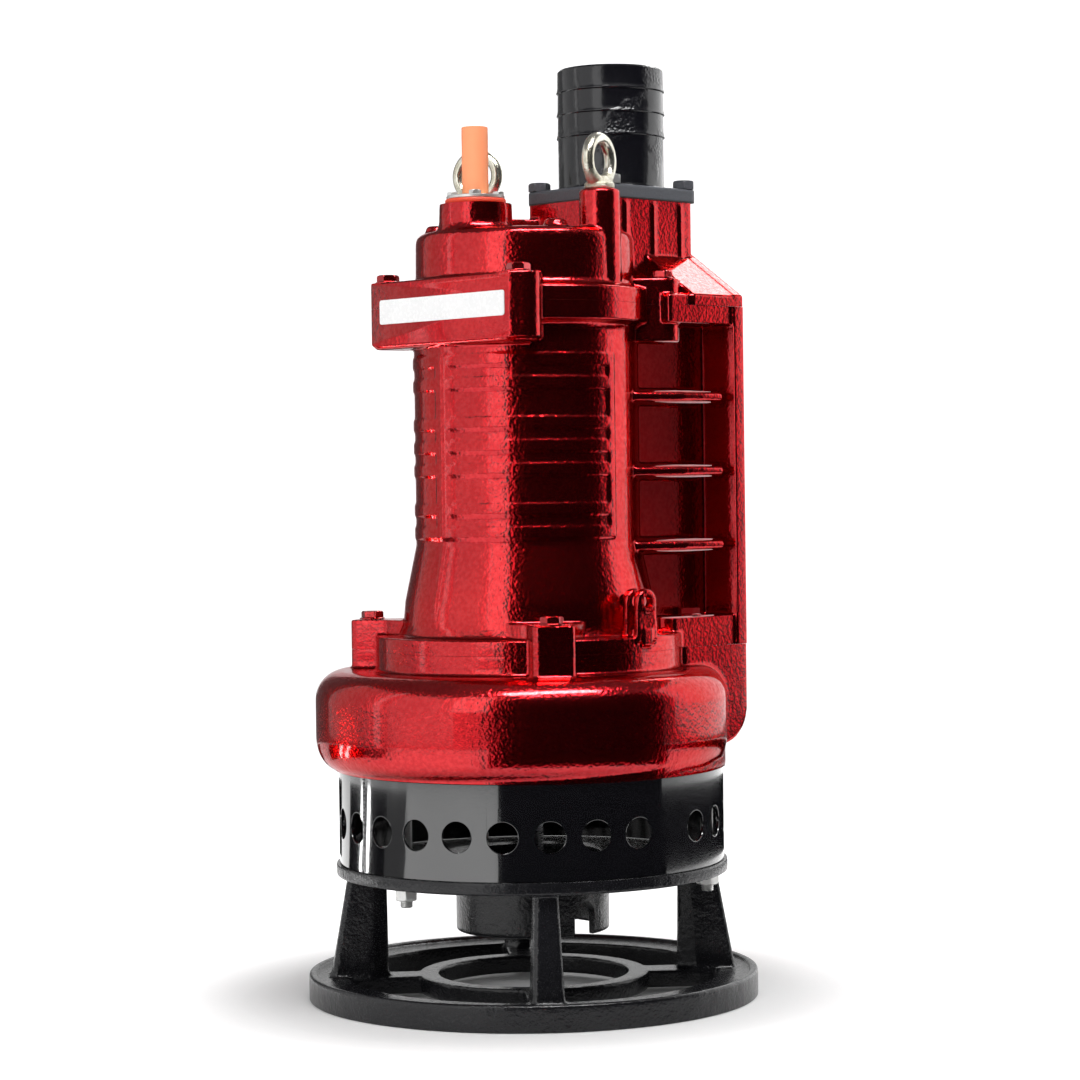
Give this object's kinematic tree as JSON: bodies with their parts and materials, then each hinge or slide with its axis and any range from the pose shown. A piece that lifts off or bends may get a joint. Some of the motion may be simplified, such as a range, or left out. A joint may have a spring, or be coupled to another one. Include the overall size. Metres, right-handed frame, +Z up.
{
  "type": "submersible slurry pump",
  "caption": "Upright submersible slurry pump on a cast ring stand, with a strainer band, an agitator, a side discharge duct and a hose tail on top.",
  "frame": {"origin": "on the pump's axis at floor level, in the middle of the stand's ring", "axes": "+Z up along the shaft, +X from the shaft towards the discharge duct"},
  "size_m": [0.43, 0.43, 0.8936],
  "materials": {
    "red_gloss_paint": "gloss",
    "satin_black_casting": "satin",
    "gloss_black_enamel": "gloss",
    "grey_black_coating": "satin",
    "yellow_zinc": "satin",
    "bright_zinc": "satin",
    "machined_steel": "satin",
    "cast_iron": "matte",
    "copper_winding": "satin",
    "hard_carbide": "gloss",
    "red_rubber": "matte",
    "black_rubber": "matte",
    "orange_cable_jacket": "matte"
  },
  "bodies": {
    "pump_body": {"stand_base": "satin_black_casting", "stand_leg_1": "satin_black_casting", "stand_leg_2": "satin_black_casting", "stand_leg_3": "satin_black_casting", "stand_leg_4": "satin_black_casting", "stand_deck": "satin_black_casting", "suction_skirt": "satin_black_casting", "stand_stud_1": "bright_zinc", "stand_stud_2": "bright_zinc", "stand_stud_3": "bright_zinc", "stand_nut_1": "bright_zinc", "stand_nut_2": "bright_zinc", "stand_nut_3": "bright_zinc", "gland_plate": "bright_zinc", "strainer_band": "gloss_black_enamel", "hose_tail": "gloss_black_enamel", "suction_cover": "cast_iron", "oil_housing": "cast_iron", "lower_bearing_bracket": "cast_iron", "upper_bearing_bracket": "cast_iron", "stator_core": "cast_iron", "volute_casing": "red_gloss_paint", "motor_housing": "red_gloss_paint", "discharge_duct": "red_gloss_paint", "top_cover": "red_gloss_paint", "housing_bolt_1": "red_gloss_paint", "housing_bolt_2": "red_gloss_paint", "housing_bolt_3": "red_gloss_paint", "housing_bolt_4": "red_gloss_paint", "cover_bolt_1": "red_gloss_paint", "cover_bolt_2": "red_gloss_paint", "cover_bolt_3": "red_gloss_paint", "cover_bolt_4": "red_gloss_paint", "stator_winding_lower": "copper_winding", "stator_winding_upper": "copper_winding", "lower_bearing_outer_race": "machined_steel", "upper_bearing_outer_race": "machined_steel", "seal_seat": "hard_carbide", "gland_rubber": "red_rubber", "power_cable": "orange_cable_jacket", "eye_bolt_right": "yellow_zinc", "eye_bolt_left": "yellow_zinc", "hose_tail_gasket": "black_rubber", "hose_tail_bolt_1": "grey_black_coating", "hose_tail_bolt_2": "grey_black_coating", "hose_tail_bolt_3": "grey_black_coating", "hose_tail_bolt_4": "grey_black_coating"},
    "rotor": {"pump_shaft": "machined_steel", "rotor_core": "machined_steel", "impeller_nut": "machined_steel", "lower_bearing_inner_race": "machined_steel", "upper_bearing_inner_race": "machined_steel", "lower_bearing_ball_set": "machined_steel", "upper_bearing_ball_set": "machined_steel", "impeller": "cast_iron", "agitator": "cast_iron", "seal_ring": "hard_carbide"}
  },
  "joints": [
    {"name": "rotor_spin", "type": "hinge", "parent": "pump_body", "child": "rotor", "pos_m": [0, 0, 0.3], "axis": [0, 0, 1], "continuous": true}
  ]
}
